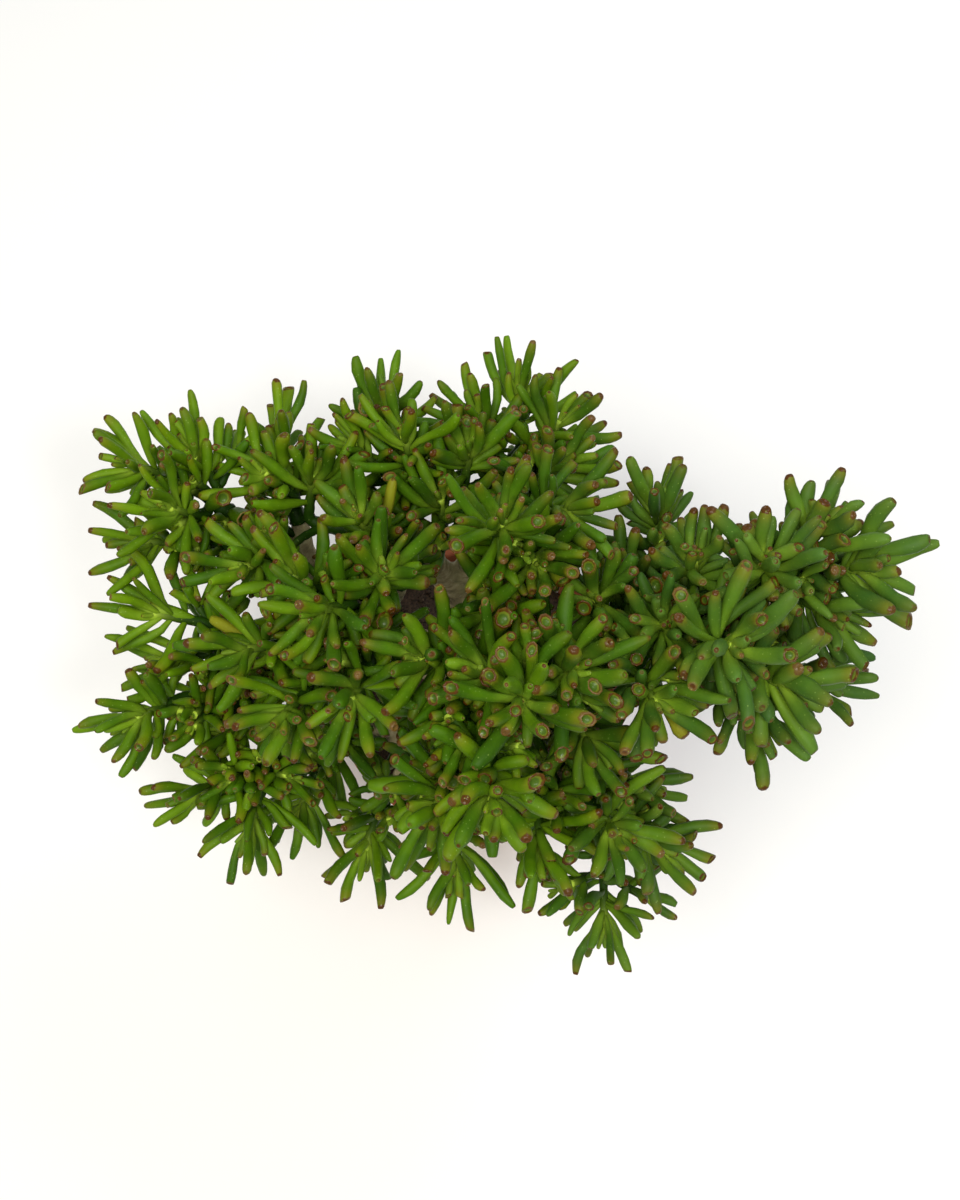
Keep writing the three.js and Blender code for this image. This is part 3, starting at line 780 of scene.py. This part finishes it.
def addLeaf(bm, layers, shoot, leaf):
    before = len(bm.verts)
    bm.from_mesh(mould)
    bm.verts.ensure_lookup_table()
    draw = leaf.draw
    cup = leaf.shown or shownCup(leaf.cup, draw)
    rings, depth = leafRings(leaf, cup, draw)
    last = len(rings) - 1
    lumpyFrom, lumpyTo = leafLook["lumpy"]
    lumps = [1 + leafLook["lumps"] * (draw() - 0.5) * 2 if lumpyFrom < share < lumpyTo else 1
             for share, swell in rings]
    kink, waver = (leafLook["kink"] * (draw() - 0.5) * 2 * leaf.length / leafLook["plainLength"]
                   for n in range(2))
    tone, blush, dry, oval = draw(), draw(), draw() ** 3, 1 + leafLook["oval"] * (draw() - 0.5) * 2
    dry = leafTints["dry"] * dry if leaf.dry is None else leaf.dry
    radius = leaf.width / 2
    wide = easeIn((cup - 0.5) / 0.15)  # 1 for a dish and 0 for a plain tip
    slant = leafLook["slant"] * easeIn((cup - 0.5) / 0.3) + 0.3 * (draw() - 0.4)
    cross = crossed(leaf.out, leaf.stemWay)
    belowTip = pairs[leaf.order][0]
    capStart = 1 - mix(mix(*leafTints["cap"], blush ** 2), leafTints["ring"], wide)
    young = leafTints["young"] * clamp(1 - belowTip / 4)
    tints = {
        # the leaf's random tone plus the painted sun light of its shoot
        "toneAndPaintedSun": leafTints["tone"] * tone + leafTints["sun"] * shoot.sun - leafTints["dark"],
        "old": leafTints["old"] if tone > leafTints["oldShare"] and belowTip > 12 else 0.0,
        "dry": dry,
    }
    for n, (ring, x, y) in enumerate(mouldVerts):
        share, swell = rings[ring]
        inDish = ring >= last - 1
        if abs(x) + abs(y) < 0.01:  # in the middle of the foot or of the dish
            share = 1 - depth if ring == last else 0.0
        facing = 1 if inDish else easeIn((share - 0.84) / 0.16)
        tilt = slant * facing * x * swell * radius / leaf.length
        point, side = leafPoint(leaf, share + tilt)
        swell *= lumps[ring]
        point = plus(point, cross, kink * math.sin(share * math.pi * 1.3))
        point = plus(point, side, waver * 0.7 * math.sin(share * math.pi * 2))
        point = plus(plus(point, side, x * swell * radius * oval), cross, y * swell * radius / oval)
        vert = bm.verts[before + n]
        vert.co = Vector(point) * mm
        tints["foot"] = leafTints["foot"] * (1 - easeIn(share / 0.55))
        # painted bluish sheen to one side and painted shade low down, stronger towards the leaf's end
        tints["cool"] = leafTints["cool"] * shoot.cool * mix(0.3, 1, share)
        tints["warm"] = leafTints["warm"] * easeIn((blush - 0.1) / 0.7) * easeIn((share - 0.74) / 0.22)
        tints["past"] = share - capStart
        tints["cap"] = 1.0 if inDish else max(wide, easeIn((blush - 0.2) / 0.5))
        tints["dish"] = wide * (dry < 0.9) if ring == last else 0.0
        near = math.exp(-math.dist(point, shoot.tip) / shoot.glowReach)
        tints["glow"] = max(near, young * mix(1, 0.4, share))
        for name, value in tints.items():
            vert[layers[name]] = value


stemLook = {
    "sides": 8,
    "ringStep": 1.9,
    "knuckle": 0.12,  # how far the rings of old leaf joints stand out, as a share of the radius
    "knuckleStep": 5.5,
    "woody": 0.45,  # the share of the stem that is turning to bark
}


def addStem(bm, layers, shoot):
    curve = shoot.curve
    total = curve.length + shoot.leafy
    neck = mix(stem["tip"], shoot.footRadius, stem["neck"])
    split = curve.length / total

    def radiusAt(share):
        wave = math.cos(share * total / stemLook["knuckleStep"] * 2 * math.pi)
        knuckle = stemLook["knuckle"] * max(wave, 0) ** 3
        if share < split:
            return mix(shoot.footRadius, neck, share / split) * (1 + knuckle)
        return mix(neck, stem["tip"], (share - split) / (1 - split)) * (1 + knuckle)

    count = math.ceil(total / stemLook["ringStep"])
    places = ringPlaces(curve, radiusAt, count, shoot.leafy, shoot.tipWay)
    for i, ring in enumerate(growTube(bm, places, stemLook["sides"])):
        for vert in ring:
            vert[layers["glow"]] = math.exp(-(1 - i / count) * total / shoot.glowReach)
            vert[layers["woody"]] = clamp(1 - i / count / stemLook["woody"])


def leafMaterial():
    # Succulent leaf skin: a matt waxy cuticle over watery flesh, and glassy brown-rimmed ends, with painted
    # sun light and a painted bluish sheen and shade in its greens
    material, add = startMaterial("waxySucculentSkin")
    place = add("TexCoord", output="Object")
    parts = {name: add("Attribute", settings={"attribute_name": name}, output="Fac") for name in layerNames}
    for name, size in {"patches": 9, "ragged": 2.5, "pores": 1.6}.items():
        parts[name] = add("TexNoise", {"Scale": 1 / (size * mm)}, {"Vector": place})
    parts["speck"] = add("TexVoronoi", {"Scale": 1 / (2.6 * mm)}, {"Vector": place})
    for name, noiseName, share, under in [
        ("shade", "patches", 0.35, "toneAndPaintedSun"),
        ("edge", "ragged", 0.09, "past"),
    ]:
        parts[name] = add("Math", {1: share}, {0: parts[noiseName], 2: parts[under]}, addedUp)
    for name, source, low, high, most in [
        ("ended", "edge", 0.035, 0.06, 1),
        ("dots", "speck", 0.16, 0.07, 0.35),
        ("brim", "dish", 0.12, 0.2, 0.85),
        ("inner", "dish", 0.3, 0.5, 0.9),
        ("floor", "dish", 0.7, 1, 0.8),
    ]:
        parts[name] = add("MapRange", {"From Min": low, "From Max": high, "To Max": most},
                          {"Value": parts[source]}, {"interpolation_type": "SMOOTHSTEP"})
    for name, operation, first, second in [
        ("capped", "MULTIPLY", "ended", "cap"),
        ("dried", "MULTIPLY", "capped", "dry"),
        ("glassy", "MAXIMUM", "capped", "dish"),
    ]:
        parts[name] = add("Math", None, {0: parts[first], 1: parts[second]}, {"operation": operation})
    # dark to pale green: the ramp follows random patches and tone plus the painted sun light of each shoot
    colour = add("ValToRGB", links={"Fac": parts["shade"]}, stops=[
        (0.0, "#122b02"), (0.3, "#224402"), (0.6, "#3b6102"), (1.0, "#688c04"),
    ])
    # the blue-green mixed in here is a painted bluish sheen and painted shade, not the leaf's own colour
    for name, hexText in [
        ("foot", "#6a8a12"), ("cool", "#32522f"), ("glow", "#a9c540"), ("old", "#86821c"),
        ("warm", "#6f6a10"), ("capped", "#4b2c03"), ("dried", "#84703c"), ("brim", "#4c2403"),
        ("inner", "#5f7018"), ("floor", "#365514"), ("dots", "#9db85c"),
    ]:
        colour = add("Mix", {7: toLinear(hexText)}, {0: parts[name], 6: colour}, colours, output=2)
    links = {"Base Color": colour}
    for socket, least, most in [("Roughness", 0.55, 0.45), ("Coat Weight", 0.0, 0.16)]:
        links[socket] = add("MapRange", {"To Min": least, "To Max": most}, {"Value": parts["glassy"]})
    finishMaterial(add, {
        "IOR": 1.4, "Specular IOR Level": 0.2, "Coat Roughness": 0.12, "Subsurface Weight": 0.15,
        "Subsurface Radius": (1.0, 0.9, 0.15), "Subsurface Scale": 2.2 * mm,
    }, links, parts["pores"], 0.35, 0.3)
    return material


def stemMaterial():
    # Young succulent stem: smooth green skin that turns to tan bark towards its foot
    material, add = startMaterial("youngSucculentStem")
    place = add("TexCoord", output="Object")
    woody = add("Attribute", settings={"attribute_name": "woody"}, output="Fac")
    glow = add("Attribute", settings={"attribute_name": "glow"}, output="Fac")
    patches = add("TexNoise", {"Scale": 1 / (5 * mm)}, {"Vector": place})
    barked = add("Math", {1: 0.5}, {0: patches, 2: woody}, {**addedUp, "use_clamp": True})
    colour = add("ValToRGB", links={"Fac": barked}, stops=[
        (0.15, "#476f18"), (0.5, "#5d6f26"), (0.85, "#766a40"), (1.0, "#8a7c58"),
    ])
    pale = add("Mix", {7: toLinear("#b4ca50")}, {0: glow, 6: colour}, colours, output=2)
    finishMaterial(add, {"Roughness": 0.55, "IOR": 1.42}, {"Base Color": pale}, patches, 0.5, 0.4)
    return material


sprayLight = {
    "sun": 0.35,
    # what is added to the painted sun light, or to the painted bluish sheen and painted shade: how much,
    # from which place, and over what distance
    # outer and high add painted sun light, east adds a painted bluish sheen, low adds painted shade
    "outer": (0.42, 40, 110),
    "high": (0.15, 250, 150),
    # painted bluish sheen on the east side
    "east": (0.75, 30, 90),
    # painted shade on low shoots
    "low": (0.3, 300, -80),
    "westFade": 60,
    "glow": 4.5,  # how far the pale glow of a growing tip reaches, and on a side shoot
    "budGlow": 2.5,
}


def gained(value, most, start, reach):
    return most * clamp((value - start) / reach)


def lightShoot(shoot):  # painted light and shade: paler at the outside and higher up, where light reaches it, and bluer to one side with a painted bluish sheen and low down with painted shade
    x, y, z = shoot.tip
    # painted sun light: more at the outside and higher up
    shoot.sun = sprayLight["sun"] + gained(math.hypot(x, y), *sprayLight["outer"])
    shoot.sun += gained(z, *sprayLight["high"])
    # painted shade low down, fading out towards the west
    paintedShadeBelow = gained(z, *sprayLight["low"]) * clamp(1 + x / sprayLight["westFade"])
    # painted bluish sheen to the east plus painted shade low down
    shoot.cool = gained(x, *sprayLight["east"]) + paintedShadeBelow
    shoot.glowReach = sprayLight["budGlow" if shoot.size in budLook["kinds"] else "glow"]


leafSkin = leafMaterial()
stemSkin = stemMaterial()
for spray in sprays:
    bm = bmesh.new()
    layers = {name: bm.verts.layers.float.new(name) for name in layerNames}
    mine = [shoot for shoot in shoots + buds if shoot.spray == spray]
    for shoot in mine:
        lightShoot(shoot)
        addStem(bm, layers, shoot)
    for face in bm.faces:
        face.material_index = 1
    for shoot in mine:
        for leaf in shoot.leaves:
            addLeaf(bm, layers, shoot, leaf)
    bmesh.ops.recalc_face_normals(bm, faces=bm.faces)
    name = f"{spray}Leaves"
    placePiece(meshFrom(bm, name), name, [leafSkin, stemSkin], f"{spray}Spray")
print("sprays made:", len(sprays))


# Trunk and limbs: tubes fused into one woody body, then knotted and ringed

barkLook = {
    "stockSides": 24,
    "stockRings": 24,
    "sides": 14,
    "ringStep": 4.5,
    "leastRings": 4,
    "voxel": 1.9,
    "smoothing": 7,
    # how far the trunk widens at the soil, how fast that fades above it, and where it starts in the soil
    "flare": 6,
    "flareFade": 9,
    "flareStart": (120, 14),
    # height of the uneven swellings, and of the fine rings of old leaf scars, and the sizes of both
    "knots": 1.3,
    "knotSizes": (17, 8),
    "scars": 0.45,
    "scarSize": (16, 2.6),
    # from this distance off the middle inwards they grow to their full height, over this distance
    "thin": (60, 40),
    "thinShare": 0.35,
}


def barkMaterial():
    # Old succulent bark: matt grey-tan skin, ringed with leaf scars and flecked where it peels
    material, add = startMaterial("agedSucculentBark")
    place = add("TexCoord", output="Object")
    squeezed = add("Mapping", {"Scale": (1, 1, 4)}, {"Vector": place})
    broad = add("TexNoise", {"Scale": 1 / (14 * mm), "Detail": 5}, {"Vector": place})
    rings = add("TexNoise", {"Scale": 1 / (7 * mm), "Detail": 6, "Roughness": 0.6},
                {"Vector": squeezed})
    flecks = add("TexNoise", {"Scale": 1 / (1.8 * mm), "Detail": 3}, {"Vector": place})
    mossy = add("MapRange", {"From Min": 0.5, "From Max": 0.75, "To Max": 0.5}, {"Value": broad})
    peeled = add("MapRange", {"From Min": 0.6, "From Max": 0.72, "To Max": 0.4}, {"Value": flecks})
    colour = add("ValToRGB", links={"Fac": rings}, stops=[
        (0.3, "#6b6047"), (0.48, "#938866"), (0.62, "#b0a481"), (0.75, "#c2b796"),
    ])
    for share, hexText in [(mossy, "#74794c"), (peeled, "#c4bb9c")]:
        colour = add("Mix", {7: toLinear(hexText)}, {0: share, 6: colour}, colours, output=2)
    relief = add("Math", {1: 0.4}, {0: flecks, 2: rings}, addedUp)
    finishMaterial(add, {"Roughness": 0.82, "IOR": 1.45}, {"Base Color": colour}, relief, 0.7, 0.8)
    return material


def meshAfter(mesh, modifiers):  # the mesh with these modifiers applied, from an object that isn't kept
    holder = addObject("holder", mesh)
    for kind, settings in modifiers:
        modifier = holder.modifiers.new(kind.title(), kind)
        for name, value in settings.items():
            setattr(modifier, name, value)
    made = bpy.data.meshes.new_from_object(holder.evaluated_get(bpy.context.evaluated_depsgraph_get()))
    bpy.data.objects.remove(holder)
    return made


def makeTrunk():
    bm = bmesh.new()
    stock = Curve((0, 0, trunk["bottom"]), up, forkEnds["trunk"][0], up)

    def stockRadius(share):
        z = mix(trunk["bottom"], trunk["forkHeight"], share)
        start, length = barkLook["flareStart"]
        fade = math.exp(-max(z - soil["top"], 0) / barkLook["flareFade"])
        flare = barkLook["flare"] * fade * easeIn((z - start) / length)
        return trunk["radius"] * mix(1, trunk["taper"], share) + flare

    growTube(bm, ringPlaces(stock, stockRadius, barkLook["stockRings"]), barkLook["stockSides"])
    for curve, startRadius, endRadius in limbs:
        count = max(math.ceil(curve.length / barkLook["ringStep"]), barkLook["leastRings"])
        places = ringPlaces(curve, lambda share: mix(startRadius, endRadius, share), count)
        growTube(bm, places, barkLook["sides"])
    bmesh.ops.recalc_face_normals(bm, faces=bm.faces)
    return meshAfter(meshFrom(bm, "roughTrunk"), [
        ("REMESH", {"mode": "VOXEL", "voxel_size": barkLook["voxel"] * mm}),
        ("SMOOTH", {"factor": 0.5, "iterations": barkLook["smoothing"]}),
    ])


def knotBark(mesh):
    broad, fine = barkLook["knotSizes"]
    scarWidth, scarStep = barkLook["scarSize"]
    edge, fade = barkLook["thin"]
    normals = [vert.normal.copy() for vert in mesh.vertices]
    for vert, normal in zip(mesh.vertices, normals):
        at = vert.co / mm
        thick = clamp((edge - math.hypot(at.x, at.y)) / fade, barkLook["thinShare"], 1)
        knot = noise.noise(at / broad) + 0.5 * noise.noise(at / fine)
        scar = noise.noise(Vector((at.x / scarWidth, at.y / scarWidth, at.z / scarStep)))
        vert.co += normal * (barkLook["knots"] * knot + barkLook["scars"] * scar) * thick * mm


trunkMesh = makeTrunk()
knotBark(trunkMesh)
placePiece(trunkMesh, "trunkAndLimbs", [barkMaterial()], "trunk")
print("trunk and limbs fused:", len(trunkMesh.polygons), "faces")


# Pot: thrown from one outline, with its drain holes cut through the floor

potLook = {
    "steps": 96,
    "edge": 1.8,
    "bellySteps": 8,
    "belly": 0.5,  # how far the wall curves out between foot and rim
    "holeSides": 24,
    "sharpAngle": 40,
}


def clayMaterial():
    # Unglazed fired clay: matt, sandy, with pale lime bloom that damp soil leaves near the foot
    material, add = startMaterial("unglazedFiredClay")
    place = add("TexCoord", output="Object")
    height = add("SeparateXYZ", links={"Vector": place}, output="Z")
    turning = add("Mapping", {"Scale": (0.15, 0.15, 6)}, {"Vector": place})
    cloud = add("TexNoise", {"Scale": 1 / (30 * mm), "Detail": 6, "Roughness": 0.6},
                {"Vector": place})
    sand = add("TexNoise", {"Scale": 1 / (0.9 * mm), "Detail": 2}, {"Vector": place})
    lines = add("TexNoise", {"Scale": 1 / (9 * mm), "Detail": 3}, {"Vector": turning})
    damp = add("MapRange", {"From Min": 90 * mm, "From Max": 5 * mm}, {"Value": height})
    limed = add("Math", {1: 0.45}, {0: damp, 2: cloud}, addedUp)
    bloom = add("MapRange", {"From Min": 0.62, "From Max": 1.05, "To Max": 0.4}, {"Value": limed})
    grain = add("MapRange", {"From Min": 0.35, "From Max": 0.65, "To Min": 0.1, "To Max": 0.0},
                {"Value": sand})
    colour = add("ValToRGB", links={"Fac": cloud}, stops=[
        (0.3, "#9c5230"), (0.5, "#b5673f"), (0.72, "#c47a50"),
    ])
    for share, hexText in [(bloom, "#d9c8b4"), (grain, "#6e3820")]:
        colour = add("Mix", {7: toLinear(hexText)}, {0: share, 6: colour}, colours, output=2)
    relief = add("Math", {1: 0.5}, {0: sand, 2: lines}, addedUp)
    finishMaterial(add, {"Roughness": 0.88, "IOR": 1.5}, {"Base Color": colour}, relief, 0.5, 0.35)
    return material


def spinOutline(outline, steps):
    bm = bmesh.new()
    verts = [bm.verts.new((radius * mm, 0, z * mm)) for radius, z in outline]
    edges = [bm.edges.new(pair) for pair in zip(verts, verts[1:])]
    bmesh.ops.spin(bm, geom=verts + edges, cent=(0, 0, 0), axis=(0, 0, 1), angle=2 * math.pi, steps=steps,
                   use_merge=True)
    bmesh.ops.remove_doubles(bm, verts=bm.verts, dist=0.01 * mm)
    bmesh.ops.recalc_face_normals(bm, faces=bm.faces)
    return bm


def potOutline():
    base, neck, rim = pot["baseRadius"], pot["neckRadius"], pot["rimRadius"]
    top, foot = pot["height"], pot["floor"]
    edge = potLook["edge"]
    steps = potLook["bellySteps"]
    rimFoot = top - pot["rimHeight"]
    rimLow = rim - pot["rimTaper"]
    inner = rim - pot["wall"]
    innerFoot = base - pot["wall"]
    outline = [(0, 0), (base - edge, 0), (base - edge * 0.3, edge * 0.3), (base, edge)]
    for k in range(1, steps):
        belly = potLook["belly"] * math.sin(k / steps * math.pi)
        outline.append((mix(base, neck, k / steps) + belly, mix(edge, rimFoot, k / steps)))
    outline += [(neck - 0.2, rimFoot - 1.2), (neck + 1, rimFoot)]
    outline += [(rimLow - 1, rimFoot), (rimLow, rimFoot + 1.2)]
    outline += [(rim - 0.2, top - 5), (rim, top - 2.4), (rim - 0.9, top - 0.7), (rim - 2.6, top)]
    outline += [(inner + 2.4, top), (inner + 0.8, top - 0.8), (inner, top - 2.6)]
    outline += [(innerFoot + 3, foot + 4), (innerFoot, foot), (0, foot)]
    return outline


def makePot():
    body = meshFrom(spinOutline(potOutline(), potLook["steps"]), "potBody")
    bm = bmesh.new()
    radius = pot["holeRadius"] * mm
    circle = pot["holeCircle"] * mm
    for i in range(pot["holes"]):
        about = math.radians(90 + 360 / pot["holes"] * i)
        place = Matrix.Translation((circle * math.cos(about), circle * math.sin(about), 0))
        bmesh.ops.create_cone(bm, cap_ends=True, segments=potLook["holeSides"], radius1=radius,
                              radius2=radius, depth=pot["floor"] * 3 * mm, matrix=place)
    drill = addObject("drainDrills", meshFrom(bm, "drainDrills"))
    made = meshAfter(body, [("BOOLEAN", {"operation": "DIFFERENCE", "object": drill, "solver": "EXACT"})])
    bpy.data.objects.remove(drill)
    return made


potMesh = makePot()
placePiece(potMesh, "clayPot", [clayMaterial()], "pot")
potMesh.set_sharp_from_angle(angle=math.radians(potLook["sharpAngle"]))
print("pot thrown:", len(potMesh.polygons), "faces")


# Potting mix: a gritty mound with crumbs and pale perlite lying on it

soilLook = {
    "rings": 26,
    "steps": 84,
    "innermost": 12,
    "lumps": 0.8,
    "lumpSizes": (6, 2.5),
    "crumbs": 900,
    "crumbSize": (0.9, 2.6),
    "crumbGaps": (5, 3),  # how far they keep from the trunk and from the wall
    "crumbTurn": 6.28,
    "perlite": 0.16,  # the share of crumbs that are pale
    "dark": ("#241a12", "#5a4632"),
    "pale": ("#b9b2a2", "#e6e1d6"),
}


def soilMaterial(name, dark, pale):
    # Gritty potting mix: dull, coarse and dry on top
    material, add = startMaterial(name)
    place = add("TexCoord", output="Object")
    grit = add("TexNoise", {"Scale": 1 / (1.6 * mm), "Detail": 4, "Roughness": 0.7},
               {"Vector": place})
    colour = add("ValToRGB", links={"Fac": grit}, stops=[(0.35, dark), (0.7, pale)])
    finishMaterial(add, {"Roughness": 0.95}, {"Base Color": colour}, grit, 0.9, 0.7)
    return material


def innerRadius(z):
    share = (z - pot["floor"]) / (pot["height"] - 1.5 - pot["floor"])
    return mix(pot["baseRadius"] - pot["wall"], pot["rimRadius"] - pot["wall"], share)


def soilTop(radius):
    edge = innerRadius(soil["top"]) - fitGap
    share = clamp((radius - trunk["radius"]) / (edge - trunk["radius"]))
    return soil["top"] + soil["crown"] * (1 - share ** 1.6)


def soilOutline(edge):
    bottom = pot["floor"] + fitGap
    outline = [(0, bottom), (innerRadius(bottom) - fitGap, bottom), (edge, soil["top"] - 1.5)]
    for k in range(soilLook["rings"]):
        radius = mix(edge - 0.6, soilLook["innermost"], k / (soilLook["rings"] - 1))
        outline.append((radius, soilTop(radius)))
    return outline + [(0, soilTop(0))]


def scatterCrumbs(bm, edge):
    draw = draws(77)
    nearTrunk, nearWall = soilLook["crumbGaps"]
    least, most = (trunk["radius"] + nearTrunk) ** 2, (edge - nearWall) ** 2
    for i in range(soilLook["crumbs"]):
        radius = math.sqrt(mix(least, most, draw()))
        about = draw() * 2 * math.pi
        size = mix(*soilLook["crumbSize"], draw() ** 2)
        sizes = (size * mm, size * mix(0.6, 1, draw()) * mm, size * mix(0.45, 0.8, draw()) * mm)
        z = soilTop(radius) + size * 0.25
        spot = Vector((radius * math.cos(about), radius * math.sin(about), z)) * mm
        spin = Matrix.Rotation(draw() * soilLook["crumbTurn"], 4, "Z")
        turned = spin @ Matrix.Rotation(draw() - 0.5, 4, "X")
        place = Matrix.Translation(spot) @ turned @ Matrix.Diagonal(sizes).to_4x4()
        made = bmesh.ops.create_icosphere(bm, subdivisions=1, radius=1, matrix=place)
        pale = 1 if draw() < soilLook["perlite"] else 0
        for face in {face for vert in made["verts"] for face in vert.link_faces}:
            face.material_index = pale


def makeSoil():
    edge = innerRadius(soil["top"]) - fitGap
    broad, fine = soilLook["lumpSizes"]
    bm = spinOutline(soilOutline(edge), soilLook["steps"])
    for vert in bm.verts:
        at = vert.co / mm
        if at.z > soil["top"] - 1 and math.hypot(at.x, at.y) < edge - 1:
            lump = noise.noise(at / broad) + 0.6 * noise.noise(at / fine + Vector((9, 4, 2)))
            vert.co.z += lump * soilLook["lumps"] * mm
    scatterCrumbs(bm, edge)
    return meshFrom(bm, "pottingMix")


grit = soilMaterial("grittyPottingMix", *soilLook["dark"])
perlite = soilMaterial("palePerlite", *soilLook["pale"])
placePiece(makeSoil(), "pottingMix", [grit, perlite], "soil", smooth=False)
print("potting mix laid")
